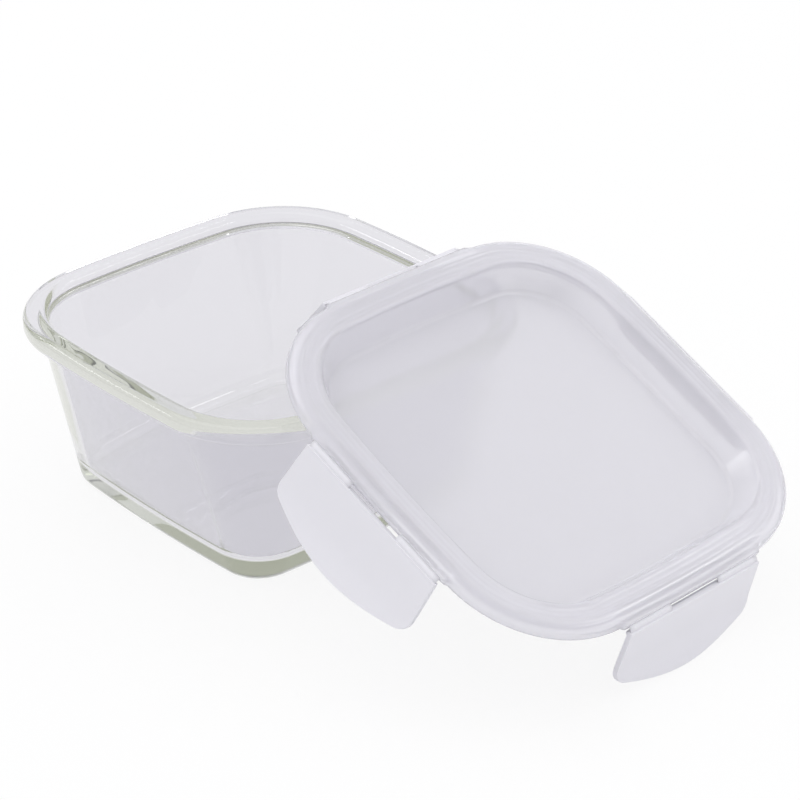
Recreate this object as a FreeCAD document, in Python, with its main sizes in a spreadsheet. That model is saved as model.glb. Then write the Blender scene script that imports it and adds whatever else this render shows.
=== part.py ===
import FreeCAD
import Part
import Sketcher
import math
import os

# Square pressed-glass food box, standing open, with its snap-lock lid leaning on the front rim.
# Millimetres, +Z up. The origin is the middle of the bowl's base, and the sides run along X and Y.
# The lid, its seal and its flaps are drawn lid-level, with z = 0 on top of the border.

DIMENSIONS = {
    # Shared by every square outline: the large radius that bows the sides
    "side_bow": 540.0,
    # Glass bowl
    "rim_half": 59.5,
    "rim_corner": 33.0,
    "bowl_height": 55.7,
    "rim_depth": 5.6,
    "rim_round": 2.2,
    "lip_width": 6.55,
    "neck_inset": 4.2,
    "base_half": 43.7,
    "base_corner": 11.5,
    "base_round": 4.0,
    "floor_thick": 5.0,
    "floor_half": 40.2,
    "floor_corner": 10.0,
    "floor_round": 5.0,
    # Lid moulding
    "lid_half": 59.8,
    "lid_corner": 33.3,
    "skirt_depth": 4.0,
    "skirt_wall": 1.1,
    "border_thick": 1.5,
    "crown_round": 2.4,
    "channel_round": 1.2,
    "recess_inset": 8.7,
    "recess_foot_inset": 13.2,
    "recess_depth": 8.2,
    "recess_lip_round": 1.5,
    "recess_foot_round": 2.0,
    "panel_thick": 1.4,
    "tub_inset": 7.2,
    "tub_foot_inset": 11.7,
    "tub_round": 2.0,
    "rib_inset": 3.0,
    "rib_wall": 1.0,
    "rib_depth": 3.2,
    # Hinge lands on the four sides of the lid
    "land_half": 28.0,
    "land_inset": 2.6,
    "land_edge": 60.3,
    "land_top": 2.1,
    "land_low": 3.4,
    "land_start": 0.15,
    # Sealing ring in the channel between the rib and the tub
    "seal_outer_inset": 4.1,
    "seal_inner_inset": 7.3,
    "seal_height": 2.7,
    "seal_lip": 1.1,
    "seal_groove": 1.2,
    # Locking flaps, about a hinge axis at their own origin
    "hinge_out": 61.3,
    "hinge_drop": 2.75,
    "hinge_gap": 1.0,
    "flap_half": 25.3,
    "flap_splay": 3.5,
    "flap_thick": 1.5,
    "flap_straight": 12.6,
    "flap_flare": 14.0,
    "flap_flare_turn": 50.0,
    "flap_corner": 4.1,
    "flap_sweep": 73.4,
    "flap_reach": 22.3,
    "flap_hang": 14.3,
    "front_hang": 9.5,
    "hook_half": 20.0,
    "hook_drop": 6.7,
    "hook_reach": 4.4,
    "hook_tip": 0.8,
    "hook_root": 3.0,
    # Living hinge: a bent film with an open slot in its middle
    "film_thick": 0.4,
    "film_half": 24.9,
    "slot_half": 9.3,
    # Where the lid leans
    "lean_x": 16.72,
    "lean_y": -92.51,
    "lean_z": 51.2,
    "lean_yaw": 2.44,
    "lean_pitch": 0.91,
    "lean_roll": 24.76,
}

# Quarter turns about the lid's middle that take the front side to each side, and how far each flap
# hangs out from shut: the front one stands on the table and is pressed in a little
SIDES = {"front": 0, "right": 90, "rear": 180, "left": 270}
HANG = {side: "dims.flap_hang" for side in SIDES}
HANG["front"] = "dims.front_hang"

# Room round the flap's outline for the cut that trims it, and height of that cut above the hinge
TRIM_MARGIN = 8.0
TRIM_TOP = 1.0

# Reach to either side of the hinge axis of the cut that opens the film's slot
SLOT_ROOM = 4.0

doc = FreeCAD.newDocument("food_box")
sheet = doc.addObject("Spreadsheet::Sheet", "dims")
for row, (alias, number) in enumerate(DIMENSIONS.items(), start=1):
    sheet.set(f"A{row}", alias)
    sheet.set(f"B{row}", str(number))
    sheet.setAlias(f"B{row}", alias)
doc.recompute()


def value(expression):
    """Number that an expression on the sheet stands for."""
    return float(sheet.evalExpression(expression))


def dim(alias):
    return value(f"dims.{alias}")


def new_body(name):
    body = doc.addObject("PartDesign::Body", name)
    body.Label = name
    return body


def new_sketch(body, name, plane, offset="0"):
    """Empty sketch on one of the body's origin planes, raised along the plane's normal."""
    sketch = body.newObject("Sketcher::SketchObject", name)
    support = [f for f in body.Origin.OriginFeatures if f.Role == plane][0]
    sketch.AttachmentSupport = [(support, "")]
    sketch.MapMode = "FlatFace"
    sketch.setExpression("AttachmentOffset.Base.z", f"({offset}) * 1mm")
    return sketch


def constrain(sketch, kind, *arguments):
    return sketch.addConstraint(Sketcher.Constraint(kind, *arguments))


def bind(sketch, kind, arguments, expression, unit="mm"):
    """Add a dimension whose size is an expression on the sheet."""
    size = value(expression)
    number = math.radians(size) if unit == "deg" else size
    index = constrain(sketch, kind, *arguments, number)
    name = f"size_{index}"
    sketch.renameConstraint(index, name)
    sketch.setExpression(f"Constraints.{name}", f"({expression}) * 1{unit}")


def corner_centre(half, corner, bow):
    """Distance along X and along Y of the corner arcs' centres from the middle."""
    shift = bow - half
    reach = bow - corner
    return (-shift + math.sqrt(2 * reach**2 - shift**2)) / 2


def add_bowed_square(sketch, half, corner, inset="0"):
    """Square of four bowed sides and four round corners, moved inwards by the inset."""
    bow_size, half_size = dim("side_bow"), value(half)
    inset_size = value(inset)
    centre = corner_centre(half_size, value(corner), bow_size)
    shift = bow_size - half_size
    turn = math.atan2(centre, centre + shift)
    first = sketch.GeometryCount
    normal = FreeCAD.Vector(0, 0, 1)
    for quarter in range(4):
        spin = FreeCAD.Rotation(normal, 90 * quarter)
        heading = quarter * math.pi / 2
        side_middle = spin.multVec(FreeCAD.Vector(-shift, 0, 0))
        side = Part.Circle(side_middle, normal, bow_size - inset_size)
        sketch.addGeometry(Part.ArcOfCircle(side, heading - turn, heading + turn))
        corner_middle = spin.multVec(FreeCAD.Vector(centre, centre, 0))
        bend = Part.Circle(corner_middle, normal, value(corner) - inset_size)
        sketch.addGeometry(Part.ArcOfCircle(bend, heading + turn, heading + math.pi / 2 - turn))
    for index in range(8):
        constrain(sketch, "Tangent", first + index, 2, first + (index + 1) % 8, 1)
    for index in (2, 4, 6):
        constrain(sketch, "Equal", first, first + index)
        constrain(sketch, "Equal", first + 1, first + 1 + index)
    offset = f"dims.side_bow - {half}"
    for index, axis, kind, inward in ((0, -1, "DistanceX", True), (2, -2, "DistanceY", True),
                                      (4, -1, "DistanceX", False), (6, -2, "DistanceY", False)):
        constrain(sketch, "PointOnObject", first + index, 3, axis)
        ends = (first + index, 3, -1, 1) if inward else (-1, 1, first + index, 3)
        bind(sketch, kind, ends, offset)
    bind(sketch, "Radius", (first,), f"dims.side_bow - ({inset})")
    bind(sketch, "Radius", (first + 1,), f"{corner} - ({inset})")


def outline(body, name, height, half, corner, *insets):
    """Sketch at a height, with one bowed square for each inset."""
    sketch = new_sketch(body, name, "XY_Plane", height)
    for inset in insets:
        add_bowed_square(sketch, half, corner, inset)
    return sketch


def add_feature(body, kind, name, profile):
    feature = body.newObject(f"PartDesign::{kind}", name)
    feature.Profile = profile
    return feature


def pad(body, name, profile, length, downwards=False, symmetric=False):
    feature = add_feature(body, "Pad", name, profile)
    feature.setExpression("Length", f"({length}) * 1mm")
    feature.Reversed = downwards
    feature.SideType = "Symmetric" if symmetric else "One side"
    return checked(feature)


def pocket(body, name, profile, length, upwards=False, symmetric=False):
    """Cut along the sketch's normal; a cut that takes nothing away is an error."""
    before = body.Tip.Shape.Volume
    feature = add_feature(body, "Pocket", name, profile)
    feature.setExpression("Length", f"({length}) * 1mm")
    feature.Reversed = upwards
    feature.SideType = "Symmetric" if symmetric else "One side"
    checked(feature)
    if feature.Shape.Volume >= before:
        raise ValueError(f"{name} cuts nothing")
    return feature


def loft(body, kind, name, profile, section):
    feature = add_feature(body, kind, name, profile)
    feature.Sections = [section]
    feature.Ruled = True
    return checked(feature)


def checked(feature):
    doc.recompute()
    if "Invalid" in feature.State or "Error" in feature.State or feature.Shape.isNull():
        raise ValueError(f"{feature.Name} failed")
    return feature


def loop_edges(shape, height, half, corner, inset):
    """Names of the edges that run along one bowed square at one height."""
    half_size, corner_size, inset_size = value(half), value(corner), value(inset)
    centre = corner_centre(half_size, corner_size, dim("side_bow"))
    tolerance = 0.02
    names = []
    for number, edge in enumerate(shape.Edges, start=1):
        box = edge.BoundBox
        if max(abs(box.ZMin - value(height)), abs(box.ZMax - value(height))) > tolerance:
            continue
        middle = edge.valueAt((edge.FirstParameter + edge.LastParameter) / 2)
        along, across = sorted((abs(middle.x), abs(middle.y)))
        on_side = abs(across - half_size + inset_size) < tolerance + along**2 / dim("side_bow")
        from_centre = math.hypot(along - centre, across - centre)
        on_corner = abs(from_centre - corner_size + inset_size) < tolerance and along > centre
        if on_side or on_corner:
            names.append(f"Edge{number}")
    return names


def fillet(body, name, radius, *loops):
    """Round the edges of one or more bowed squares of the body's last feature."""
    base = body.Tip
    edges = []
    for loop in loops:
        edges += loop_edges(base.Shape, *loop)
    feature = body.newObject("PartDesign::Fillet", name)
    feature.Base = (base, edges)
    feature.setExpression("Radius", f"{radius} * 1mm")
    return checked(feature)


def make_bowl():
    """Pressed glass: tapered walls, a flange under a thick rounded rim, and a heavy base."""
    body = new_body("glass_bowl")
    rim = ("dims.rim_half", "dims.rim_corner")
    base = ("dims.base_half", "dims.base_corner")
    floor = ("dims.floor_half", "dims.floor_corner")
    flange = "dims.bowl_height - dims.rim_depth"
    mid_rim = "dims.bowl_height - dims.rim_depth / 2"
    neck = outline(body, "neck_outline", mid_rim, *rim, "dims.neck_inset")
    loft(body, "AdditiveLoft", "wall", outline(body, "base_outline", "0", *base, "0"), neck)
    pad(body, "flange", outline(body, "rim_outline", flange, *rim, "0"), "dims.rim_depth")
    fillet(body, "rim_edges", "dims.rim_round", ("dims.bowl_height", *rim, "0"), (flange, *rim, "0"))
    fillet(body, "base_edge", "dims.base_round", ("0", *base, "0"))
    mouth = outline(body, "mouth_outline", "dims.bowl_height", *rim, "dims.lip_width")
    bottom = outline(body, "floor_outline", "dims.floor_thick", *floor, "0")
    loft(body, "SubtractiveLoft", "cavity", mouth, bottom)
    fillet(body, "mouth_edge", "dims.rim_round", ("dims.bowl_height", *rim, "dims.lip_width"))
    fillet(body, "floor_edge", "dims.floor_round", ("dims.floor_thick", *floor, "0"))
    return body


def rectangle(sketch, left, right, low, high):
    """Rectangle between four expressions on the sheet."""
    corners = [FreeCAD.Vector(value(x), value(y), 0)
               for x, y in ((left, low), (right, low), (right, high), (left, high))]
    first = sketch.GeometryCount
    for index in range(4):
        sketch.addGeometry(Part.LineSegment(corners[index], corners[(index + 1) % 4]))
    for index in range(4):
        constrain(sketch, "Coincident", first + index, 2, first + (index + 1) % 4, 1)
    for index, kind in enumerate(("Horizontal", "Vertical", "Horizontal", "Vertical")):
        constrain(sketch, kind, first + index)
    place_point(sketch, first, 1, left, low)
    place_point(sketch, first + 2, 1, right, high)


def place_point(sketch, geometry, point, across, up):
    """Fix a point's distances from the sketch's origin; each size is kept positive."""
    for kind, expression in (("DistanceX", across), ("DistanceY", up)):
        if value(expression) < 0:
            bind(sketch, kind, (geometry, point, -1, 1), f"-({expression})")
        else:
            bind(sketch, kind, (-1, 1, geometry, point), expression)


def make_lid():
    """Moulded lid: skirt, crowned border with a channel under it, and a sunken panel."""
    body = new_body("lid_panel")
    lid = ("dims.lid_half", "dims.lid_corner")
    ceiling = "-dims.border_thick"
    brim = "-dims.skirt_depth"
    pad(body, "border", outline(body, "lid_outline", brim, *lid, "0"), "dims.skirt_depth")
    fillet(body, "crown", "dims.crown_round", ("0", *lid, "0"))
    channel = outline(body, "channel_outline", brim, *lid, "dims.skirt_wall")
    pocket(body, "channel", channel, "dims.skirt_depth - dims.border_thick", upwards=True)
    fillet(body, "channel_edge", "dims.channel_round", (ceiling, *lid, "dims.skirt_wall"))
    tub_top = outline(body, "tub_outline", "-dims.border_thick / 2", *lid, "dims.tub_inset")
    tub_low = "-dims.recess_depth - dims.panel_thick"
    tub_foot = outline(body, "tub_foot_outline", tub_low, *lid, "dims.tub_foot_inset")
    loft(body, "AdditiveLoft", "tub", tub_top, tub_foot)
    fillet(body, "tub_edge", "dims.tub_round", (tub_low, *lid, "dims.tub_foot_inset"))
    recess_top = outline(body, "recess_outline", "0", *lid, "dims.recess_inset")
    recess_low = "-dims.recess_depth"
    recess_foot = outline(body, "recess_foot_outline", recess_low, *lid, "dims.recess_foot_inset")
    loft(body, "SubtractiveLoft", "recess", recess_top, recess_foot)
    fillet(body, "recess_lip", "dims.recess_lip_round", ("0", *lid, "dims.recess_inset"))
    fillet(body, "recess_edge", "dims.recess_foot_round", (recess_low, *lid, "dims.recess_foot_inset"))
    rib_inner = "dims.rib_inset + dims.rib_wall"
    rib = outline(body, "rib_outline", ceiling, *lid, "dims.rib_inset", rib_inner)
    pad(body, "seal_rib", rib, "dims.rib_depth - dims.border_thick", downwards=True)
    add_hinge_lands(body)
    return body


def add_land_slope(sketch):
    """Section of the cut that slopes a land from the crown down to its outer edge."""
    inner, outer = "-dims.lid_half + dims.land_inset", "-dims.land_edge"
    corners = [FreeCAD.Vector(value(x), value(y), 0) for x, y in
               ((outer, "-dims.land_top"), (inner, "-dims.land_start"),
                (inner, "dims.border_thick"), (outer, "dims.border_thick"))]
    for index in range(4):
        sketch.addGeometry(Part.LineSegment(corners[index], corners[(index + 1) % 4]))
    for index in range(4):
        constrain(sketch, "Coincident", index, 2, (index + 1) % 4, 1)
    constrain(sketch, "Vertical", 1)
    constrain(sketch, "Horizontal", 2)
    constrain(sketch, "Vertical", 3)
    place_point(sketch, 0, 1, outer, "-dims.land_top")
    place_point(sketch, 1, 1, inner, "-dims.land_start")
    bind(sketch, "DistanceY", (-1, 1, 2, 1), "dims.border_thick")


def add_hinge_lands(body):
    """Sloped ledges that leave the crown and run out past the skirt, one on each side."""
    ledge = new_sketch(body, "land_outline", "XY_Plane", "-dims.land_low")
    rectangle(ledge, "-dims.land_half", "dims.land_half",
              "-dims.land_edge", "-dims.lid_half + dims.land_inset")
    land = pad(body, "land", ledge, "dims.land_low")
    slope = new_sketch(body, "land_slope", "YZ_Plane")
    add_land_slope(slope)
    cut = pocket(body, "land_cut", slope, "2 * dims.land_half", symmetric=True)
    pattern = body.newObject("PartDesign::PolarPattern", "land_pattern")
    pattern.Originals = [land, cut]
    axis = [f for f in body.Origin.OriginFeatures if f.Role == "Z_Axis"][0]
    pattern.Axis = (axis, [""])
    pattern.Angle = 360
    pattern.Occurrences = len(SIDES)
    body.Tip = pattern
    checked(pattern)


def make_seal():
    """Silicone ring with two lips below, lying against the channel's ceiling."""
    body = new_body("sealing_ring")
    lid = ("dims.lid_half", "dims.lid_corner")
    outer, inner = "dims.seal_outer_inset", "dims.seal_inner_inset"
    ring = outline(body, "ring_outline", "-dims.border_thick", *lid, outer, inner)
    pad(body, "ring", ring, "dims.seal_height", downwards=True)
    lips = outline(body, "groove_outline", "-dims.border_thick - dims.seal_height", *lid,
                   f"{outer} + dims.seal_lip", f"{inner} - dims.seal_lip")
    pocket(body, "lip_groove", lips, "dims.seal_groove", upwards=True)
    return body


def add_flap_section(sketch):
    """Plate that hangs straight from the hinge and then flares outwards to a finger lip."""
    half_thick = dim("flap_thick") / 2
    top, bend = -dim("hinge_gap"), -dim("flap_straight")
    flare, turn = dim("flap_flare"), math.radians(dim("flap_flare_turn"))
    centre = FreeCAD.Vector(-flare, bend, 0)
    normal = FreeCAD.Vector(0, 0, 1)
    inner = Part.ArcOfCircle(Part.Circle(centre, normal, flare + half_thick), -turn, 0)
    outer = Part.ArcOfCircle(Part.Circle(centre, normal, flare - half_thick), -turn, 0)
    corners = [FreeCAD.Vector(x, y, 0) for x, y in
               ((-half_thick, top), (half_thick, top), (half_thick, bend), (-half_thick, bend))]
    sketch.addGeometry(Part.LineSegment(corners[0], corners[1]))
    sketch.addGeometry(Part.LineSegment(corners[1], corners[2]))
    sketch.addGeometry(inner)
    sketch.addGeometry(Part.LineSegment(inner.StartPoint, outer.StartPoint))
    sketch.addGeometry(outer)
    sketch.addGeometry(Part.LineSegment(corners[3], corners[0]))
    edge, inside, inner_arc, lip, outer_arc, outside = range(6)
    constrain(sketch, "Coincident", edge, 2, inside, 1)
    constrain(sketch, "Tangent", inside, 2, inner_arc, 2)
    constrain(sketch, "Coincident", inner_arc, 1, lip, 1)
    constrain(sketch, "Coincident", lip, 2, outer_arc, 1)
    constrain(sketch, "Tangent", outer_arc, 2, outside, 1)
    constrain(sketch, "Coincident", outside, 2, edge, 1)
    constrain(sketch, "Coincident", inner_arc, 3, outer_arc, 3)
    constrain(sketch, "PointOnObject", outer_arc, 3, lip)
    constrain(sketch, "Symmetric", edge, 1, edge, 2, -2)
    constrain(sketch, "Vertical", inside)
    constrain(sketch, "Vertical", outside)
    bind(sketch, "DistanceY", (edge, 1, -1, 1), "dims.hinge_gap")
    bind(sketch, "DistanceX", (edge, 1, edge, 2), "dims.flap_thick")
    bind(sketch, "DistanceY", (inside, 2, -1, 1), "dims.flap_straight")
    bind(sketch, "Radius", (outer_arc,), "dims.flap_flare - dims.flap_thick / 2")
    bind(sketch, "Angle", (lip,), "180 - dims.flap_flare_turn", "deg")


def add_flap_outline(sketch):
    """Front view of a flap: splayed ends, round corners and a swept free edge."""
    sweep, corner = dim("flap_sweep"), dim("flap_corner")
    lean = math.tan(math.radians(dim("flap_splay")))
    top_half = dim("flap_half") - TRIM_TOP * lean
    sweep_centre = FreeCAD.Vector(0, sweep - dim("flap_reach"), 0)
    bend_across = dim("flap_half") + dim("flap_straight") * lean - corner
    bend_up = sweep_centre.y - math.sqrt((sweep - corner)**2 - bend_across**2)
    turn = math.atan2(bend_across, sweep_centre.y - bend_up)
    splay = math.radians(dim("flap_splay"))
    normal = FreeCAD.Vector(0, 0, 1)
    right_bend = Part.ArcOfCircle(Part.Circle(FreeCAD.Vector(bend_across, bend_up, 0), normal, corner),
                                  turn - math.pi / 2, splay)
    left_bend = Part.ArcOfCircle(Part.Circle(FreeCAD.Vector(-bend_across, bend_up, 0), normal, corner),
                                 math.pi - splay, 1.5 * math.pi - turn)
    free_edge = Part.ArcOfCircle(Part.Circle(sweep_centre, normal, sweep),
                                 -turn - math.pi / 2, turn - math.pi / 2)
    right_top = FreeCAD.Vector(top_half, TRIM_TOP, 0)
    left_top = FreeCAD.Vector(-top_half, TRIM_TOP, 0)
    first = sketch.GeometryCount
    sketch.addGeometry(Part.LineSegment(left_top, right_top))
    sketch.addGeometry(Part.LineSegment(right_bend.EndPoint, right_top))
    sketch.addGeometry(right_bend)
    sketch.addGeometry(free_edge)
    sketch.addGeometry(left_bend)
    sketch.addGeometry(Part.LineSegment(left_bend.StartPoint, left_top))
    top, right, right_arc, free, left_arc, left = range(first, first + 6)
    constrain(sketch, "Coincident", top, 2, right, 2)
    constrain(sketch, "Tangent", right, 1, right_arc, 2)
    constrain(sketch, "Tangent", right_arc, 1, free, 2)
    constrain(sketch, "Tangent", free, 1, left_arc, 2)
    constrain(sketch, "Tangent", left_arc, 1, left, 1)
    constrain(sketch, "Coincident", left, 2, top, 1)
    constrain(sketch, "Symmetric", top, 1, top, 2, -2)
    constrain(sketch, "PointOnObject", free, 3, -2)
    constrain(sketch, "Equal", right_arc, left_arc)
    bind(sketch, "DistanceY", (-1, 1, top, 2), str(TRIM_TOP))
    bind(sketch, "DistanceX", (-1, 1, top, 2),
         f"dims.flap_half - {TRIM_TOP} * tan(dims.flap_splay * 1deg)")
    bind(sketch, "Angle", (right,), "90 + dims.flap_splay", "deg")
    bind(sketch, "Angle", (left,), "90 - dims.flap_splay", "deg")
    bind(sketch, "Radius", (right_arc,), "dims.flap_corner")
    bind(sketch, "Radius", (free,), "dims.flap_sweep")
    bind(sketch, "DistanceY", (-1, 1, free, 3), "dims.flap_sweep - dims.flap_reach")


def add_hook_section(sketch):
    """Ledge on the flap's inner face that snaps under the glass flange."""
    drop, reach = dim("hook_drop"), dim("hook_reach")
    tip, root = drop + dim("hook_tip"), drop + dim("hook_root")
    corners = [FreeCAD.Vector(x, y, 0) for x, y in
               ((0, -drop), (reach, -drop), (reach, -tip), (0, -root))]
    for index in range(4):
        sketch.addGeometry(Part.LineSegment(corners[index], corners[(index + 1) % 4]))
    for index in range(4):
        constrain(sketch, "Coincident", index, 2, (index + 1) % 4, 1)
    constrain(sketch, "Horizontal", 0)
    constrain(sketch, "Vertical", 1)
    constrain(sketch, "PointOnObject", 0, 1, -2)
    constrain(sketch, "PointOnObject", 3, 1, -2)
    bind(sketch, "DistanceY", (0, 1, -1, 1), "dims.hook_drop")
    bind(sketch, "DistanceX", (0, 1, 0, 2), "dims.hook_reach")
    bind(sketch, "DistanceY", (1, 2, 1, 1), "dims.hook_tip")
    bind(sketch, "DistanceY", (3, 1, 3, 2), "dims.hook_root")


def make_flap(side):
    """Locking flap, drawn shut about its hinge axis, which runs along X."""
    body = new_body(f"{side}_flap")
    section = new_sketch(body, f"{side}_flap_section", "YZ_Plane")
    add_flap_section(section)
    margin_half = f"dims.flap_half + {TRIM_MARGIN}"
    pad(body, f"{side}_flap_plate", section, f"2 * ({margin_half})", symmetric=True)
    trim = new_sketch(body, f"{side}_flap_trim", "XZ_Plane")
    rectangle(trim, f"-({margin_half})", margin_half,
              f"-(dims.flap_reach + {TRIM_MARGIN})", str(2 * TRIM_TOP))
    add_flap_outline(trim)
    pocket(body, f"{side}_flap_trimmed", trim, "2 * dims.flap_flare", symmetric=True)
    hook = new_sketch(body, f"{side}_flap_hook_section", "YZ_Plane")
    add_hook_section(hook)
    pad(body, f"{side}_flap_hook", hook, "2 * dims.hook_half", symmetric=True)
    return body


def make_hinge_web(side):
    """Film that bends from the land's edge to the flap's top edge, tangent to both."""
    body = new_body(f"{side}_hinge_web")
    body.AllowCompound = True
    turn = math.radians(90 - value(HANG[side]))
    radius = f"dims.hinge_gap / tan((90 - {HANG[side]}) * 0.5deg)"
    middle = FreeCAD.Vector(dim("hinge_gap"), -value(radius), 0)
    half_thick = dim("film_thick") / 2
    normal = FreeCAD.Vector(0, 0, 1)
    rings = [Part.Circle(middle, normal, value(radius) + step) for step in (-half_thick, half_thick)]
    arcs = [Part.ArcOfCircle(ring, math.pi / 2, math.pi / 2 + turn) for ring in rings]
    section = new_sketch(body, f"{side}_film_section", "YZ_Plane")
    inner, outer, land_end, flap_end = range(4)
    for arc in arcs:
        section.addGeometry(arc)
    section.addGeometry(Part.LineSegment(arcs[0].StartPoint, arcs[1].StartPoint))
    section.addGeometry(Part.LineSegment(arcs[0].EndPoint, arcs[1].EndPoint))
    for end, point in ((land_end, 1), (flap_end, 2)):
        constrain(section, "Coincident", end, 1, inner, point)
        constrain(section, "Coincident", end, 2, outer, point)
    constrain(section, "Coincident", inner, 3, outer, 3)
    constrain(section, "Vertical", land_end)
    constrain(section, "PointOnObject", inner, 3, flap_end)
    bind(section, "DistanceX", (-1, 1, inner, 3), "dims.hinge_gap")
    bind(section, "DistanceY", (inner, 3, -1, 1), radius)
    bind(section, "Radius", (inner,), f"{radius} - dims.film_thick / 2")
    bind(section, "Radius", (outer,), f"{radius} + dims.film_thick / 2")
    bind(section, "Angle", (flap_end,), f"180 - {HANG[side]}", "deg")
    pad(body, f"{side}_film", section, "2 * dims.film_half", symmetric=True)
    slot = new_sketch(body, f"{side}_slot_outline", "XY_Plane", "dims.hinge_gap")
    rectangle(slot, "-dims.slot_half", "dims.slot_half", f"-{SLOT_ROOM}", f"{SLOT_ROOM}")
    pocket(body, f"{side}_slot", slot, f"2 * {SLOT_ROOM}")
    return body


def export(bodies):
    """Write each sub-part's shape, once the whole document is known to be sound."""
    doc.recompute()
    failed = [item.Name for item in doc.Objects if {"Invalid", "Error"} & set(item.State)]
    unsound = [body.Label for body in bodies if body.Shape.isNull() or not body.Shape.isValid()]
    if failed or unsound:
        raise ValueError(f"failed: {failed}, unsound: {unsound}")
    os.makedirs("parts", exist_ok=True)
    for body in bodies:
        print(f"{body.Label}: {body.Shape.Volume:.0f} mm3, {len(body.Shape.Solids)} solids")
        body.Shape.exportStep(f"parts/{body.Label}.step")


bowl = make_bowl()
lid = make_lid()
seal = make_seal()

lean = FreeCAD.Placement(
    FreeCAD.Vector(dim("lean_x"), dim("lean_y"), dim("lean_z")),
    FreeCAD.Rotation(dim("lean_yaw"), dim("lean_pitch"), dim("lean_roll")))
lid.Placement = lean
seal.Placement = lean

hinge_axis = FreeCAD.Vector(0, -dim("hinge_out"), -dim("hinge_drop"))
at_hinge = FreeCAD.Placement(hinge_axis, FreeCAD.Rotation())
flaps, webs = [], []
for side_name, quarter_turn in SIDES.items():
    to_side = FreeCAD.Placement(
        FreeCAD.Vector(0, 0, 0), FreeCAD.Rotation(FreeCAD.Vector(0, 0, 1), quarter_turn))
    hang = FreeCAD.Rotation(FreeCAD.Vector(-1, 0, 0), value(HANG[side_name]))
    flap = make_flap(side_name)
    flap.Placement = lean * to_side * FreeCAD.Placement(hinge_axis, hang)
    flaps.append(flap)
    web = make_hinge_web(side_name)
    web.Placement = lean * to_side * at_hinge
    webs.append(web)

export([bowl, lid, seal, *flaps, *webs])
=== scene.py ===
import math

import bmesh
import bpy
from mathutils import Matrix, Vector


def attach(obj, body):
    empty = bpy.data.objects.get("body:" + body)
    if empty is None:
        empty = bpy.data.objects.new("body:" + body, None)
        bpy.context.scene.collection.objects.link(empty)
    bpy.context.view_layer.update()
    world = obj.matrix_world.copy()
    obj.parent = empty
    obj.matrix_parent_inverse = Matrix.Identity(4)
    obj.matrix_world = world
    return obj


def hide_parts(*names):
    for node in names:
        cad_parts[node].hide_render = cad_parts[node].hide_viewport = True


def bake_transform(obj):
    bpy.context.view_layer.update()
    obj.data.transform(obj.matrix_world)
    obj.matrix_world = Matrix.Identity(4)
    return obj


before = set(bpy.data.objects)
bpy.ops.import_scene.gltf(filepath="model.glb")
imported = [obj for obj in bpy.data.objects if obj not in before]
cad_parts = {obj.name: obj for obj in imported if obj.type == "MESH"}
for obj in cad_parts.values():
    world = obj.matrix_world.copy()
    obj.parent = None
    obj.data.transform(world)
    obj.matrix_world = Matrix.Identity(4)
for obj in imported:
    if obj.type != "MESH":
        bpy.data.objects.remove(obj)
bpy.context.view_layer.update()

# Square pressed-glass food box, standing open, with its snap-lock lid leaning on the front rim.
# Sizes are in millimetres and turns in degrees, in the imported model's frame,
# unless a comment says otherwise.
MM = 0.001

# Radius of the slightly bowed sides at the outer outline; the rings further in share its middle
SIDE_BOW = 540.0

# Glass bowl: half widths, corner radii and heights
RIM_HALF, RIM_CORNER = 59.5, 33.0
BOWL_HEIGHT, RIM_DEPTH, RIM_ROUND = 55.7, 5.6, 2.2
LIP_WIDTH, NECK_INSET, NECK_ROUND = 6.55, 4.2, 1.2
BASE_HALF, BASE_CORNER, BASE_ROUND = 43.7, 11.5, 4.0
FLOOR_THICK, FLOOR_HALF, FLOOR_CORNER, FLOOR_ROUND = 5.0, 40.2, 10.0, 5.0

# Lid moulding, level, with z = 0 on top of its border
LID_HALF, LID_CORNER = 59.8, 33.3
SKIRT_DEPTH, SKIRT_WALL, BORDER_THICK = 4.0, 1.1, 1.5
CROWN_ROUND, CHANNEL_ROUND, MOULD_ROUND = 2.4, 1.0, 0.3
RECESS_INSET, RECESS_FOOT_INSET, RECESS_DEPTH = 8.7, 13.2, 8.2
RECESS_LIP_ROUND, RECESS_FOOT_ROUND = 1.5, 2.0
PANEL_THICK, TUB_INSET, TUB_FOOT_INSET, TUB_ROUND = 1.4, 7.2, 11.7, 2.0
RIB_INSET, RIB_WALL, RIB_DEPTH = 3.0, 1.0, 3.2

# Faint sink lines that the rib and the seal's channel leave on top of the border
SINK_INSETS, SINK_WIDTH, SINK_DEPTH = (7.0, 5.4, 3.8), 0.7, 0.14

# Sloped hinge lands that run out past the skirt
LAND_HALF, LAND_INSET, LAND_EDGE = 28.0, 2.6, 60.3
LAND_START, LAND_TOP, LAND_LOW, LAND_EASE = 0.15, 2.1, 3.4, 2.0

# Sealing ring in the lid's channel, a hair below its ceiling
SEAL_OUTER_INSET, SEAL_INNER_INSET, SEAL_HEIGHT = 4.2, 7.2, 2.65
SEAL_LIP, SEAL_GROOVE, SEAL_CLEARANCE = 1.1, 1.2, 0.06

# Locking flaps, drawn hanging from a hinge axis along X, and the film of their living hinge
HINGE_OUT, HINGE_DROP, HINGE_GAP = 61.3, 2.75, 1.0
FLAP_HALF, FLAP_SPLAY, FLAP_THICK, FLAP_EDGE_ROUND = 25.3, 3.5, 1.5, 0.35
FLAP_STRAIGHT, FLAP_FLARE, FLAP_CORNER = 12.6, 14.0, 4.1
FLAP_SWEEP, FLAP_REACH = 73.4, 22.3
HOOK_HALF, HOOK_DROP, HOOK_REACH, HOOK_TIP = 20.0, 6.7, 4.4, 0.8
HOOK_ROOT, HOOK_BITE = 3.0, 0.25
FILM_THICK, FILM_HALF, SLOT_HALF, FILM_TAIL = 0.4, 24.9, 9.3, 0.25

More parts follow.
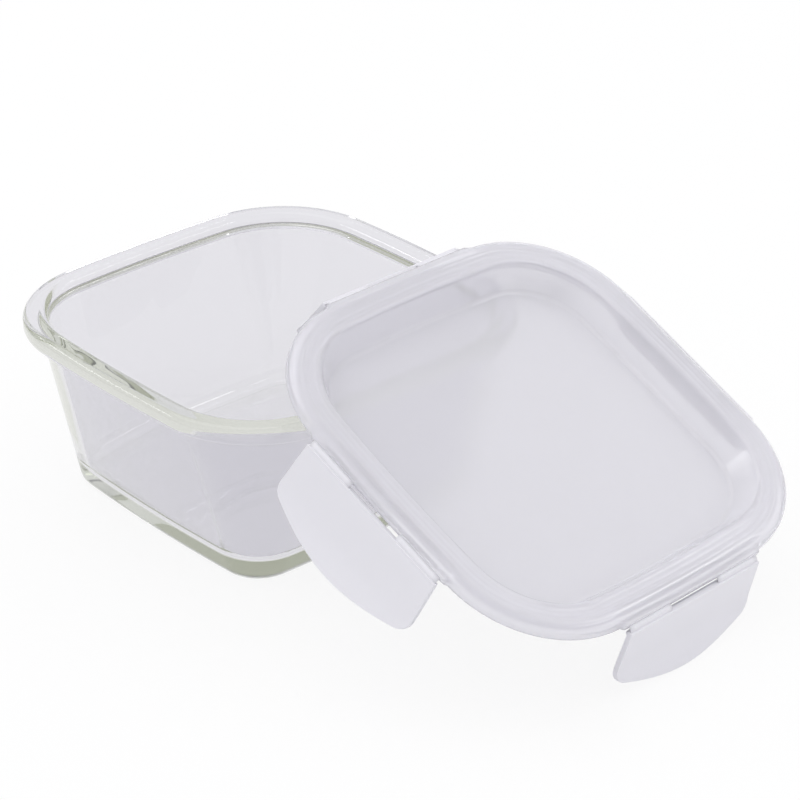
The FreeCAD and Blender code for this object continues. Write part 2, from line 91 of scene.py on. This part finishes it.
# Where the lid leans, and the quarter turns that take its front side to each side
LEAN_PLACE = Vector((16.72, -92.51, 51.2))
LEAN_YAW, LEAN_PITCH, LEAN_ROLL = 2.44, 0.91, 24.76
SIDES = {"front": 0, "right": 90, "rear": 180, "left": 270}

# How far each flap hangs out from shut; the front one is pressed in a little by the table
HANG = {"front": 9.5, "right": 14.3, "rear": 14.3, "left": 14.3}

# Mesh fineness: points along a side and round a corner, along an arc, and the longest straight row
PER_SIDE, PER_CORNER, PER_ARC, ROW_LENGTH = 48, 40, 8, 4.0

# Rings that fill a flat cap, as shares of its outline, and steps across a soft edge
CAP_SHARES, EDGE_STEPS = (0.8, 0.6, 0.4, 0.2), 3

# Light inside a clear wall counts as caught from its third reflection on
CAUGHT_AFTER = 2.5

# The studio floor lies a hair below the base, because glass on a table has air under it
STUDIO_FLOOR_GAP = 0.1

# Grey horizon and pale studio: the heights on a sphere of radius 1 where one ends and the other starts
HORIZON_TOP, STUDIO_FOOT = 0.12, 0.22

# Studio lamps: place and size in metres, and power in watts. The strips draw bright lines along the rim
LAMPS = {"overhead_softbox": ((-0.1, 0.35, 1.15), (0.9, 0.9), 1.6),
         "left_strip": ((-0.53, 0.75, 0.6), (0.6, 0.08), 0.7),
         "right_strip": ((0.6, -0.53, 0.75), (0.6, 0.08), 0.7)}

# Camera of the photograph
CAMERA_PLACE = Vector((-438.1, -538.4, 409.8))
CAMERA_PAN, CAMERA_TILT = 47.84, 28.96
CAMERA_LENS, CAMERA_SENSOR = 124.65, 36.0


def turn(degrees, axis):
    return Matrix.Rotation(math.radians(degrees), 4, axis)


LEAN = (Matrix.Translation(LEAN_PLACE) @ turn(LEAN_YAW, "Z") @ turn(LEAN_PITCH, "Y")
        @ turn(LEAN_ROLL, "X"))


def hinge_place(side):
    """Place of a side's hinge axis, with X along it and the lid's middle towards +Y."""
    return LEAN @ turn(SIDES[side], "Z") @ Matrix.Translation((0, -HINGE_OUT, -HINGE_DROP))


def bowed_square(half, corner, bow):
    """Points round a square with bowed sides and round corners, from the +X side onwards."""
    shift, reach = bow - half, bow - corner
    centre = (math.sqrt(2 * reach**2 - shift**2) - shift) / 2
    swing = math.atan2(centre, centre + shift)
    quarter = []
    for step in range(PER_SIDE):
        angle = swing * (2 * step / PER_SIDE - 1)
        quarter.append((bow * math.cos(angle) - shift, bow * math.sin(angle)))
    for step in range(PER_CORNER):
        angle = swing + (math.pi / 2 - 2 * swing) * step / PER_CORNER
        quarter.append((centre + corner * math.cos(angle), centre + corner * math.sin(angle)))
    loop = []
    for _ in range(4):
        loop += quarter
        quarter = [(-y, x) for x, y in quarter]
    return loop


def rounded_path(corners):
    """Points along a section of (across, up, radius) corners, with an arc at each round one."""
    points = [Vector(corners[0][:2])]
    for before, here, after in zip(corners, corners[1:], corners[2:]):
        spot, radius = Vector(here[:2]), here[2]
        if radius == 0:
            points.append(spot)
            continue
        back = (Vector(before[:2]) - spot).normalized()
        ahead = (Vector(after[:2]) - spot).normalized()
        half_angle = back.angle(ahead) / 2
        middle = spot + (back + ahead).normalized() * radius / math.sin(half_angle)
        start = spot + back * radius / math.tan(half_angle) - middle
        end = spot + ahead * radius / math.tan(half_angle) - middle
        sweep = start.angle_signed(end)
        for step in range(PER_ARC + 1):
            angle = -sweep * step / PER_ARC
            points.append(middle + Matrix.Rotation(angle, 2) @ start)
    points.append(Vector(corners[-1][:2]))
    rows = [points[0]]
    for point in points[1:]:
        first = rows[-1]
        steps = max(1, math.ceil((point - first).length / ROW_LENGTH))
        rows += [first.lerp(point, step / steps) for step in range(1, steps + 1)]
    return rows


def new_piece(name, mesh_data, place=Matrix.Identity(4)):
    """Object from a bmesh drawn in millimetres, with its place worked into the mesh in metres."""
    bmesh.ops.recalc_face_normals(mesh_data, faces=mesh_data.faces)
    mesh_data.transform(Matrix.Scale(MM, 4) @ place)
    for face in mesh_data.faces:
        face.smooth = True
    mesh = bpy.data.meshes.new(name)
    mesh_data.to_mesh(mesh)
    mesh_data.free()
    piece = bpy.data.objects.new(name, mesh)
    bpy.context.scene.collection.objects.link(piece)
    return piece


def keep_flats_flat(piece):
    """Let the large faces lead the shading, so that flats stay flat beside their round edges."""
    leading = piece.modifiers.new("flats", "WEIGHTED_NORMAL")
    leading.keep_sharp = True


def thicken(piece, thickness):
    """Give a sheet its wall, half to each side."""
    wall = piece.modifiers.new("wall", "SOLIDIFY")
    wall.thickness = thickness * MM
    wall.offset = 0


def soften_edges(piece):
    edge = piece.modifiers.new("soft_edge", "BEVEL")
    edge.width = FLAP_EDGE_ROUND * MM
    edge.segments = EDGE_STEPS
    edge.limit_method = "ANGLE"


def skin_rings(rings, closed):
    """Bmesh skin over a row of equal rings; an open row gets a flat cap at each end."""
    skin = bmesh.new()
    if not closed:
        rings = cap_rings(rings[0])[::-1] + rings + cap_rings(rings[-1])
    rows = [[skin.verts.new(point) for point in ring] for ring in rings]
    count = len(rows[0])
    pairs = list(zip(rows, rows[1:])) + ([(rows[-1], rows[0])] if closed else [])
    for low, high in pairs:
        for index in range(count):
            following = (index + 1) % count
            skin.faces.new((low[index], low[following], high[following], high[index]))
    if not closed:
        for row in (rows[0], rows[-1]):
            centre = skin.verts.new((0, 0, row[0].co.z))
            for index in range(count):
                skin.faces.new((row[index], row[(index + 1) % count], centre))
    return skin


def cap_rings(ring):
    """Ever smaller copies of a level ring, towards its middle."""
    height = ring[0][2]
    return [[(x * share, y * share, height) for x, y, _ in ring] for share in CAP_SHARES]


def skin_columns(skin, columns):
    """Add the faces between neighbouring columns of points."""
    for left, right in zip(columns, columns[1:]):
        for row in range(len(left) - 1):
            skin.faces.new((left[row], right[row], right[row + 1], left[row + 1]))


def dress(piece, material, body, node):
    piece.data.materials.append(material)
    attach(piece, body)
    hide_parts(node)


def bowl_ring(half, height, corner):
    outline = bowed_square(half, corner, SIDE_BOW + half - RIM_HALF)
    return [(x, y, height) for x, y in outline]


def make_bowl(glass):
    """Pressed bowl: tapered walls, a flange under a thick rounded rim, and a heavy base."""
    neck_height = BOWL_HEIGHT - RIM_DEPTH / 2
    flange_height = BOWL_HEIGHT - RIM_DEPTH
    neck_half, mouth_half = RIM_HALF - NECK_INSET, RIM_HALF - LIP_WIDTH
    outer_slope = (neck_half - BASE_HALF) / neck_height
    inner_slope = (mouth_half - FLOOR_HALF) / (BOWL_HEIGHT - FLOOR_THICK)
    outer_corner_slope = (RIM_CORNER - NECK_INSET - BASE_CORNER) / neck_height
    inner_corner_slope = (RIM_CORNER - LIP_WIDTH - FLOOR_CORNER) / (BOWL_HEIGHT - FLOOR_THICK)
    outside = rounded_path((
        (BASE_HALF - 2 * BASE_ROUND, 0, 0),
        (BASE_HALF, 0, BASE_ROUND),
        (BASE_HALF + outer_slope * flange_height, flange_height, NECK_ROUND),
        (RIM_HALF, flange_height, RIM_ROUND),
        (RIM_HALF, BOWL_HEIGHT, RIM_ROUND),
        (RIM_HALF - LIP_WIDTH / 2, BOWL_HEIGHT, 0)))
    inside = rounded_path((
        (RIM_HALF - LIP_WIDTH / 2, BOWL_HEIGHT, 0),
        (mouth_half, BOWL_HEIGHT, RIM_ROUND),
        (FLOOR_HALF, FLOOR_THICK, FLOOR_ROUND),
        (FLOOR_HALF - 2 * FLOOR_ROUND, FLOOR_THICK, 0)))
    rings = []
    for half, height in outside:
        wall = BASE_HALF + outer_slope * min(height, neck_height)
        corner = BASE_CORNER + outer_corner_slope * min(height, neck_height) + half - wall
        rings.append(bowl_ring(half, height, corner))
    for half, height in inside[1:]:
        wall = FLOOR_HALF + inner_slope * (height - FLOOR_THICK)
        corner = FLOOR_CORNER + inner_corner_slope * (height - FLOOR_THICK) + half - wall
        rings.append(bowl_ring(half, height, corner))
    bowl = new_piece("pressed_glass_bowl", skin_rings(rings, closed=False))
    keep_flats_flat(bowl)
    dress(bowl, glass, "bowl", "glass_bowl")


def lid_ring(inset, height):
    outline = bowed_square(LID_HALF - inset, LID_CORNER - inset, SIDE_BOW - inset)
    return [(x, y, height) for x, y in outline]


def land_ring(inset, height, land_out, land_height):
    """Ring of the crown that eases out of its outline onto the four hinge lands."""
    ring = []
    for x, y, z in lid_ring(inset, height):
        land = Vector((x, math.copysign(land_out, y), land_height))
        if abs(x) > abs(y):
            land = Vector((math.copysign(land_out, x), y, land_height))
        share = min(1.0, max(0.0, (LAND_HALF - min(abs(x), abs(y))) / LAND_EASE))
        ring.append(Vector((x, y, z)).lerp(land, share**2 * (3 - 2 * share)))
    return ring


def make_lid(border_plastic, panel_plastic):
    """Moulded lid in one skin: sunken panel, border with faint sink lines, skirt, seal rib and tub."""
    tub_slope = (TUB_FOOT_INSET - TUB_INSET) / (RECESS_DEPTH + PANEL_THICK - BORDER_THICK / 2)
    tub_top_inset = TUB_INSET + tub_slope * BORDER_THICK / 2
    panel_low = -RECESS_DEPTH - PANEL_THICK
    flat_inset = RECESS_FOOT_INSET + 2 * RECESS_FOOT_ROUND
    sinks = []
    for inset in SINK_INSETS:
        sinks += [(inset + SINK_WIDTH / 2, 0, 0), (inset, -SINK_DEPTH, 0),
                  (inset - SINK_WIDTH / 2, 0, 0)]
    top = rounded_path((
        (flat_inset, -RECESS_DEPTH, 0),
        (RECESS_FOOT_INSET, -RECESS_DEPTH, RECESS_FOOT_ROUND),
        (RECESS_INSET, 0, RECESS_LIP_ROUND),
        *sinks,
        (LAND_INSET, 0, 0)))
    crown = rounded_path((
        (LAND_INSET, 0, 0),
        (0, 0, CROWN_ROUND),
        (0, -LAND_LOW + MOULD_ROUND, 0)))
    under = rounded_path((
        (0, -LAND_LOW, 0),
        (0, -SKIRT_DEPTH, MOULD_ROUND),
        (SKIRT_WALL, -SKIRT_DEPTH, MOULD_ROUND),
        (SKIRT_WALL, -BORDER_THICK, CHANNEL_ROUND),
        (RIB_INSET, -BORDER_THICK, MOULD_ROUND),
        (RIB_INSET, -RIB_DEPTH, MOULD_ROUND),
        (RIB_INSET + RIB_WALL, -RIB_DEPTH, MOULD_ROUND),
        (RIB_INSET + RIB_WALL, -BORDER_THICK, MOULD_ROUND),
        (tub_top_inset, -BORDER_THICK, MOULD_ROUND),
        (TUB_FOOT_INSET, panel_low, TUB_ROUND),
        (flat_inset, panel_low, 0)))
    rings = [lid_ring(inset, height) for inset, height in top]
    last = len(crown) - 1
    for index, (inset, height) in enumerate(crown[1:], start=1):
        share = min(1, index / (last - 1))
        slope_out = LID_HALF - LAND_INSET + (LAND_EDGE - LID_HALF + LAND_INSET) * share
        slope_height = -LAND_START - (LAND_TOP - LAND_START) * share
        if index == last:
            slope_height = -LAND_LOW + MOULD_ROUND / 2
        rings.append(land_ring(inset, height, slope_out, slope_height))
    rings += [lid_ring(inset, height) for inset, height in under]
    skin = skin_rings(rings, closed=False)
    border_slot, panel_slot = 0, 1
    panel_half, panel_top = LID_HALF - RECESS_FOOT_INSET, RECESS_FOOT_ROUND - RECESS_DEPTH
    for face in skin.faces:
        middle = face.calc_center_median()
        in_panel = max(abs(middle.x), abs(middle.y)) < panel_half and middle.z < panel_top
        face.material_index = panel_slot if in_panel else border_slot
    lid = new_piece("moulded_lid", skin, LEAN)
    keep_flats_flat(lid)
    dress(lid, border_plastic, "lid", "lid_panel")
    lid.data.materials.append(panel_plastic)


def make_seal(silicone):
    """Ring with two soft lips below, lying in the channel under the lid's border."""
    top = -BORDER_THICK - SEAL_CLEARANCE
    low = top - SEAL_HEIGHT
    groove = low + SEAL_GROOVE
    middle_inset = (SEAL_OUTER_INSET + SEAL_INNER_INSET) / 2
    section = rounded_path((
        (middle_inset, top, 0),
        (SEAL_OUTER_INSET, top, MOULD_ROUND),
        (SEAL_OUTER_INSET, low, MOULD_ROUND),
        (SEAL_OUTER_INSET + SEAL_LIP, low, MOULD_ROUND),
        (SEAL_OUTER_INSET + SEAL_LIP, groove, MOULD_ROUND),
        (SEAL_INNER_INSET - SEAL_LIP, groove, MOULD_ROUND),
        (SEAL_INNER_INSET - SEAL_LIP, low, MOULD_ROUND),
        (SEAL_INNER_INSET, low, MOULD_ROUND),
        (SEAL_INNER_INSET, top, MOULD_ROUND),
        (middle_inset, top, 0)))
    rings = [lid_ring(inset, height) for inset, height in section[:-1]]
    seal = new_piece("silicone_sealing_ring", skin_rings(rings, closed=True), LEAN)
    dress(seal, silicone, "lid", "sealing_ring")


def flap_low_edge():
    """Lower outline of a flap as (across, down) points: round corner, swept free edge, round corner."""
    lean = math.radians(FLAP_SPLAY)
    sweep_middle = FLAP_REACH - FLAP_SWEEP
    bend_across = FLAP_HALF + FLAP_STRAIGHT * math.tan(lean) - FLAP_CORNER
    bend_down = sweep_middle + math.sqrt((FLAP_SWEEP - FLAP_CORNER)**2 - bend_across**2)
    swing = math.atan2(bend_across, bend_down - sweep_middle)
    bend = []
    for step in range(PER_ARC + 1):
        angle = -lean + (math.pi / 2 - swing + lean) * step / PER_ARC
        bend.append((bend_across + FLAP_CORNER * math.cos(angle),
                     bend_down + FLAP_CORNER * math.sin(angle)))
    edge = []
    for step in range(1, PER_SIDE):
        angle = swing * (1 - 2 * step / PER_SIDE)
        edge.append((FLAP_SWEEP * math.sin(angle), sweep_middle + FLAP_SWEEP * math.cos(angle)))
    return bend + edge + [(-across, down) for across, down in reversed(bend)]


def flap_spot(across, down):
    """Point on the middle of a flap's plate, which flares outwards below its straight part."""
    past = max(0.0, down - FLAP_STRAIGHT)
    return (across, math.sqrt(FLAP_FLARE**2 - past**2) - FLAP_FLARE, -down)


def make_flap(side, plastic):
    """Locking flap: flared plate with a swept free edge, and the snap hook on its inner face."""
    low_edge = flap_low_edge()
    last = len(low_edge) - 1
    rows = 2 * PER_ARC
    plate = bmesh.new()
    columns = []
    for index, (across, down) in enumerate(low_edge):
        top_across = FLAP_HALF * (1 - 2 * index / last)
        column = []
        for row in range(rows + 1):
            share = row / rows
            column.append(plate.verts.new(flap_spot(
                top_across + (across - top_across) * share, HINGE_GAP + (down - HINGE_GAP) * share)))
        columns.append(column)
    skin_columns(plate, columns)
    hang = hinge_place(side) @ turn(-HANG[side], "X")
    flap = new_piece(f"{side}_locking_flap", plate, hang)
    thicken(flap, FLAP_THICK)
    soften_edges(flap)
    dress(flap, plastic, f"{side}_flap", f"{side}_flap")
    hook = make_hook(side, hang)
    dress(hook, plastic, f"{side}_flap", f"{side}_flap")


def make_hook(side, hang):
    """Ledge that snaps under the glass flange, with its root let into a flap's inner face."""
    root = FLAP_THICK / 2 - HOOK_BITE
    section = ((root, HOOK_DROP), (HOOK_REACH, HOOK_DROP), (HOOK_REACH, HOOK_DROP + HOOK_TIP),
               (root, HOOK_DROP + HOOK_ROOT))
    bar = bmesh.new()
    left, right = [[bar.verts.new((across, inwards, -down)) for inwards, down in section]
                   for across in (-HOOK_HALF, HOOK_HALF)]
    for index in range(len(section)):
        following = (index + 1) % len(section)
        bar.faces.new((left[index], left[following], right[following], right[index]))
    bar.faces.new(left)
    bar.faces.new(right)
    hook = new_piece(f"{side}_flap_hook", bar, hang)
    soften_edges(hook)
    return hook


def make_hinge_film(side, plastic):
    """Two strips of thin film, bent from the land's edge to the flap, with an open slot between."""
    bend = math.radians(90 - HANG[side])
    radius = HINGE_GAP / math.tan(bend / 2)
    section = [(HINGE_GAP + FILM_TAIL, 0.0)]
    for step in range(PER_ARC + 1):
        angle = math.pi / 2 + bend * step / PER_ARC
        section.append((HINGE_GAP + radius * math.cos(angle), radius * (math.sin(angle) - 1)))
    tail = Vector(section[-1]) - FILM_TAIL * Vector((math.cos(bend), math.sin(bend)))
    section.append(tuple(tail))
    strips = bmesh.new()
    for first, last in ((-FILM_HALF, -SLOT_HALF), (SLOT_HALF, FILM_HALF)):
        skin_columns(strips, [
            [strips.verts.new((first + (last - first) * step / PER_ARC, inwards, up))
             for inwards, up in section] for step in range(PER_ARC + 1)])
    place = hinge_place(side)
    film = new_piece(f"{side}_hinge_film", strips, place)
    thicken(film, FILM_THICK)
    film.data.materials.append(plastic)
    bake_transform(film)
    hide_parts(f"{side}_hinge_web")


def linear(colour):
    """Linear RGBA of an sRGB hex colour."""
    channels = [int(colour[start:start + 2], 16) / 255 for start in (1, 3, 5)]
    return [c / 12.92 if c <= 0.04045 else ((c + 0.055) / 1.055)**2.4 for c in channels] + [1.0]


def per_metre(size):
    """Texture scale whose pattern repeats about every so many millimetres."""
    return 1 / (size * MM)


def add_node(tree, kind, settings, inputs):
    """Add a node with its settings; each input is a value or another node's output."""
    node = tree.nodes.new(kind)
    for name, setting in settings.items():
        setattr(node, name, setting)
    for name, source in inputs.items():
        if isinstance(source, bpy.types.NodeSocket):
            tree.links.new(source, node.inputs[name])
        else:
            node.inputs[name].default_value = source
    return node


def new_material(name):
    material = bpy.data.materials.new(name)
    material.use_nodes = True
    material.node_tree.nodes.clear()
    return material, material.node_tree


def let_caught_light_out(tree, skin, tint):
    """Surface that lets light out straight, with a tint, once it has been thrown about in the wall.

    In the real wall such light is led on to some far edge; here it would be dropped as black.
    """
    path = add_node(tree, "ShaderNodeLightPath", {}, {})
    caught = add_node(tree, "ShaderNodeMath", {"operation": "GREATER_THAN"}, {
        0: path.outputs["Glossy Depth"], 1: CAUGHT_AFTER})
    straight = add_node(tree, "ShaderNodeBsdfTransparent", {}, {"Color": linear(tint)})
    surface = add_node(tree, "ShaderNodeMixShader", {}, {
        0: caught.outputs["Value"], 1: skin.outputs["BSDF"], 2: straight.outputs["BSDF"]})
    return surface.outputs["Shader"]


def pressed_glass():
    """Clear glass pressed in an iron mould: bright skin with a slow ripple, grey green in thickness."""
    ripple_length, ripple_depth = 16, 0.4
    material, tree = new_material("glass_pressed_clear")
    place = add_node(tree, "ShaderNodeTexCoord", {}, {})
    ripple = add_node(tree, "ShaderNodeTexNoise", {}, {
        "Vector": place.outputs["Object"], "Scale": per_metre(ripple_length), "Detail": 1.0})
    relief = add_node(tree, "ShaderNodeBump", {}, {
        "Strength": 0.2, "Distance": ripple_depth * MM, "Height": ripple.outputs["Fac"]})
    skin = add_node(tree, "ShaderNodeBsdfPrincipled", {}, {
        "Base Color": linear("#E7E6EB"), "Roughness": 0.01, "IOR": 1.5,
        "Transmission Weight": 1.0, "Normal": relief.outputs["Normal"]})
    body = add_node(tree, "ShaderNodeVolumeAbsorption", {}, {
        "Color": linear("#B9C4A8"), "Density": 4.0})
    add_node(tree, "ShaderNodeOutputMaterial", {}, {
        "Surface": let_caught_light_out(tree, skin, "#E9EAE3"), "Volume": body.outputs["Volume"]})
    return material


def moulded_polypropylene(name, colour, clearness, haze, grain, relief_strength):
    """Natural polypropylene, moulded: milky and see-through, with flow haze and the mould's texture.

    The real texture is about a tenth of a millimetre, too fine to show, and is drawn coarser.
    """
    flow_length, texture_depth = 22, 0.05
    material, tree = new_material(name)
    place = add_node(tree, "ShaderNodeTexCoord", {}, {})
    flow = add_node(tree, "ShaderNodeTexNoise", {}, {
        "Vector": place.outputs["Object"], "Scale": per_metre(flow_length), "Detail": 4.0})
    cloud = add_node(tree, "ShaderNodeMapRange", {}, {
        "Value": flow.outputs["Fac"], "From Min": 0.3, "From Max": 0.7,
        "To Min": haze[0], "To Max": haze[1]})
    texture = add_node(tree, "ShaderNodeTexNoise", {}, {
        "Vector": place.outputs["Object"], "Scale": per_metre(grain), "Detail": 2.0})
    relief = add_node(tree, "ShaderNodeBump", {}, {
        "Strength": relief_strength, "Distance": texture_depth * MM, "Height": texture.outputs["Fac"]})
    skin = add_node(tree, "ShaderNodeBsdfPrincipled", {}, {
        "Base Color": linear(colour), "Roughness": cloud.outputs["Result"], "IOR": 1.49,
        "Transmission Weight": clearness, "Normal": relief.outputs["Normal"]})
    add_node(tree, "ShaderNodeOutputMaterial", {}, {
        "Surface": let_caught_light_out(tree, skin, colour)})
    return material


def moulded_silicone():
    """Translucent white silicone, moulded: soft satin skin with a little bloom of dust."""
    bloom_length = 3
    material, tree = new_material("silicone_moulded_satin")
    place = add_node(tree, "ShaderNodeTexCoord", {}, {})
    bloom = add_node(tree, "ShaderNodeTexNoise", {}, {
        "Vector": place.outputs["Object"], "Scale": per_metre(bloom_length), "Detail": 3.0})
    satin = add_node(tree, "ShaderNodeMapRange", {}, {
        "Value": bloom.outputs["Fac"], "To Min": 0.35, "To Max": 0.5})
    skin = add_node(tree, "ShaderNodeBsdfPrincipled", {}, {
        "Base Color": linear("#FBFAFD"), "Roughness": satin.outputs["Result"], "IOR": 1.41,
        "Transmission Weight": 0.9})
    add_node(tree, "ShaderNodeOutputMaterial", {}, {"Surface": skin.outputs["BSDF"]})
    return material


def shows_background(tree):
    """One for the rays that meet the plain white background: camera, glossy and transmission rays."""
    path = add_node(tree, "ShaderNodeLightPath", {}, {})
    first = add_node(tree, "ShaderNodeMath", {"operation": "MAXIMUM"}, {
        0: path.outputs["Is Camera Ray"], 1: path.outputs["Is Glossy Ray"]})
    return add_node(tree, "ShaderNodeMath", {"operation": "MAXIMUM"}, {
        0: first.outputs["Value"], 1: path.outputs["Is Transmission Ray"]})


def make_floor():
    """Plain white floor that keeps a little of the object's shadow."""
    half_width = 30.0 / MM
    shadow_share = 0.12
    material, tree = new_material("studio_floor_white")
    shown = shows_background(tree)
    share = add_node(tree, "ShaderNodeMath", {"operation": "MULTIPLY"}, {
        0: shown.outputs["Value"], 1: 1 - shadow_share})
    matt = add_node(tree, "ShaderNodeBsdfDiffuse", {}, {"Color": linear("#FAFAFA")})
    white = add_node(tree, "ShaderNodeEmission", {}, {"Color": linear("#FFFFFF"), "Strength": 1.0})
    mixed = add_node(tree, "ShaderNodeMixShader", {}, {
        0: share.outputs["Value"], 1: matt.outputs["BSDF"], 2: white.outputs["Emission"]})
    add_node(tree, "ShaderNodeOutputMaterial", {}, {"Surface": mixed.outputs["Shader"]})
    sheet = bmesh.new()
    bmesh.ops.create_grid(sheet, x_segments=1, y_segments=1, size=half_width)
    floor = new_piece("studio_floor", sheet, Matrix.Translation((0, 0, -STUDIO_FLOOR_GAP)))
    floor.data.materials.append(material)


def make_light():
    """Even pale studio, grey near the horizon, with a large soft lamp overhead and two narrow strips."""
    world = bpy.data.worlds.new("studio")
    bpy.context.scene.world = world
    world.use_nodes = True
    tree = world.node_tree
    tree.nodes.clear()
    place = add_node(tree, "ShaderNodeTexCoord", {}, {})
    parts = add_node(tree, "ShaderNodeSeparateXYZ", {}, {"Vector": place.outputs["Generated"]})
    height = add_node(tree, "ShaderNodeValToRGB", {}, {"Fac": parts.outputs["Z"]})
    horizon, studio = linear("#9C9BA2"), linear("#F4F4F6")
    stops = height.color_ramp.elements
    stops[0].position, stops[0].color = 0.0, horizon
    stops[1].position, stops[1].color = 1.0, studio
    stops.new(HORIZON_TOP).color = horizon
    stops.new(STUDIO_FOOT).color = studio
    around = add_node(tree, "ShaderNodeBackground", {}, {
        "Color": height.outputs["Color"], "Strength": 1.0})
    add_node(tree, "ShaderNodeOutputWorld", {}, {"Surface": around.outputs["Background"]})
    for name, (spot, size, power) in LAMPS.items():
        light = bpy.data.lights.new(name, "AREA")
        light.shape, light.energy = "RECTANGLE", power
        light.size, light.size_y = size
        lamp = bpy.data.objects.new(name, light)
        lamp.location = spot
        lamp.rotation_euler = (-Vector(spot)).to_track_quat("-Z", "Y").to_euler()
        bpy.context.scene.collection.objects.link(lamp)


def make_camera():
    lens = bpy.data.cameras.new("photograph")
    lens.lens, lens.sensor_width = CAMERA_LENS, CAMERA_SENSOR
    camera = bpy.data.objects.new("photograph", lens)
    pan, tilt = math.radians(CAMERA_PAN), math.radians(CAMERA_TILT)
    ahead = Vector((math.cos(tilt) * math.cos(pan), math.cos(tilt) * math.sin(pan), -math.sin(tilt)))
    camera.location = CAMERA_PLACE * MM
    camera.rotation_euler = ahead.to_track_quat("-Z", "Y").to_euler()
    bpy.context.scene.collection.objects.link(camera)
    bpy.context.scene.camera = camera


bpy.context.scene.view_settings.view_transform = "Standard"
make_camera()
make_light()
make_floor()

# The panel is hazy all over, the border whiter and glossier,
# and the flaps come matt from a textured mould
panel_plastic = moulded_polypropylene("polypropylene_moulded_clear", "#F2F1F6", clearness=0.45,
                                      haze=(0.14, 0.22), grain=2.5, relief_strength=0.15)
border_plastic = moulded_polypropylene("polypropylene_moulded_milky", "#FBFAFF", clearness=0.48,
                                       haze=(0.08, 0.14), grain=2.5, relief_strength=0.15)
flap_plastic = moulded_polypropylene("polypropylene_moulded_frosted", "#F6F5FA", clearness=0.12,
                                     haze=(0.35, 0.5), grain=0.7, relief_strength=0.5)
make_bowl(pressed_glass())
make_lid(border_plastic, panel_plastic)
make_seal(moulded_silicone())
for side_name in SIDES:
    make_flap(side_name, flap_plastic)
    make_hinge_film(side_name, flap_plastic)
